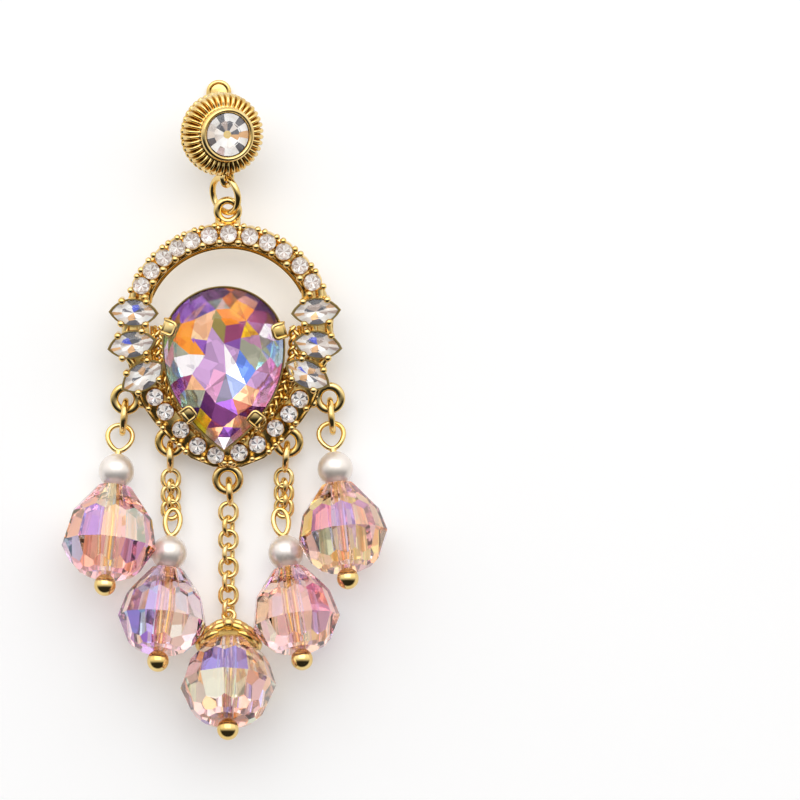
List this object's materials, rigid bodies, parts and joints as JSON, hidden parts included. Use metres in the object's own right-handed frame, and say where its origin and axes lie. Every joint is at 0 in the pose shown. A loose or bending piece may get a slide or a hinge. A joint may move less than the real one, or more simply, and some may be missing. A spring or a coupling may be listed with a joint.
{
  "type": "chandelier earring",
  "caption": "Clip-on chandelier earring lying face up: rosette, stone-set arch frame with a pear stone, and five hanging faceted bead drops.",
  "frame": {"origin": "on the surface that the earring lies on, below the middle of its outline", "axes": "+Y from the drops to the clip, +X to the right with the face up, +Z out of the face"},
  "size_m": [0.036, 0.0734, 0.0106],
  "materials": {
    "gold": "polished warm gold plating",
    "clear_crystal": "clear faceted glass, foiled behind",
    "lilac_crystal": "faceted glass with an iridescent lilac and orange coating, foiled behind",
    "rose_crystal": "faceted pale rose glass with an iridescent coating",
    "pearl": "satin pearl lustre"
  },
  "bodies": {
    "root": {"arch_stone_01": "clear_crystal", "arch_stone_02": "clear_crystal", "arch_stone_03": "clear_crystal", "arch_stone_04": "clear_crystal", "arch_stone_05": "clear_crystal", "arch_stone_06": "clear_crystal", "arch_stone_07": "clear_crystal", "arch_stone_08": "clear_crystal", "arch_stone_09": "clear_crystal", "arch_stone_10": "clear_crystal", "arch_stone_11": "clear_crystal", "arch_stone_12": "clear_crystal", "bead_cap": "gold", "bead_inner_left": "rose_crystal", "bead_inner_right": "rose_crystal", "bead_middle": "rose_crystal", "bead_outer_left": "rose_crystal", "bead_outer_right": "rose_crystal", "chain_inner_left": "gold", "chain_inner_right": "gold", "chain_middle": "gold", "drop_ring_inner_left": "gold", "drop_ring_inner_right": "gold", "drop_ring_middle": "gold", "drop_ring_outer_left": "gold", "drop_ring_outer_right": "gold", "ear_clip": "gold", "frame": "gold", "head_pin_inner_left": "gold", "head_pin_inner_right": "gold", "head_pin_middle": "gold", "head_pin_outer_left": "gold", "head_pin_outer_right": "gold", "marquise_stone_1": "clear_crystal", "marquise_stone_2": "clear_crystal", "marquise_stone_3": "clear_crystal", "marquise_stone_4": "clear_crystal", "marquise_stone_5": "clear_crystal", "marquise_stone_6": "clear_crystal", "pear_setting": "gold", "pear_stone": "lilac_crystal", "pearl_inner_left": "pearl", "pearl_inner_right": "pearl", "pearl_outer_left": "pearl", "pearl_outer_right": "pearl", "rail_stone_01": "clear_crystal", "rail_stone_02": "clear_crystal", "rail_stone_03": "clear_crystal", "rail_stone_04": "clear_crystal", "rail_stone_05": "clear_crystal", "rail_stone_06": "clear_crystal", "rail_stone_07": "clear_crystal", "rail_stone_08": "clear_crystal", "rail_stone_09": "clear_crystal", "rail_stone_10": "clear_crystal", "rosette": "gold", "rosette_stone": "clear_crystal", "top_ring": "gold"}
  },
  "joints": []
}
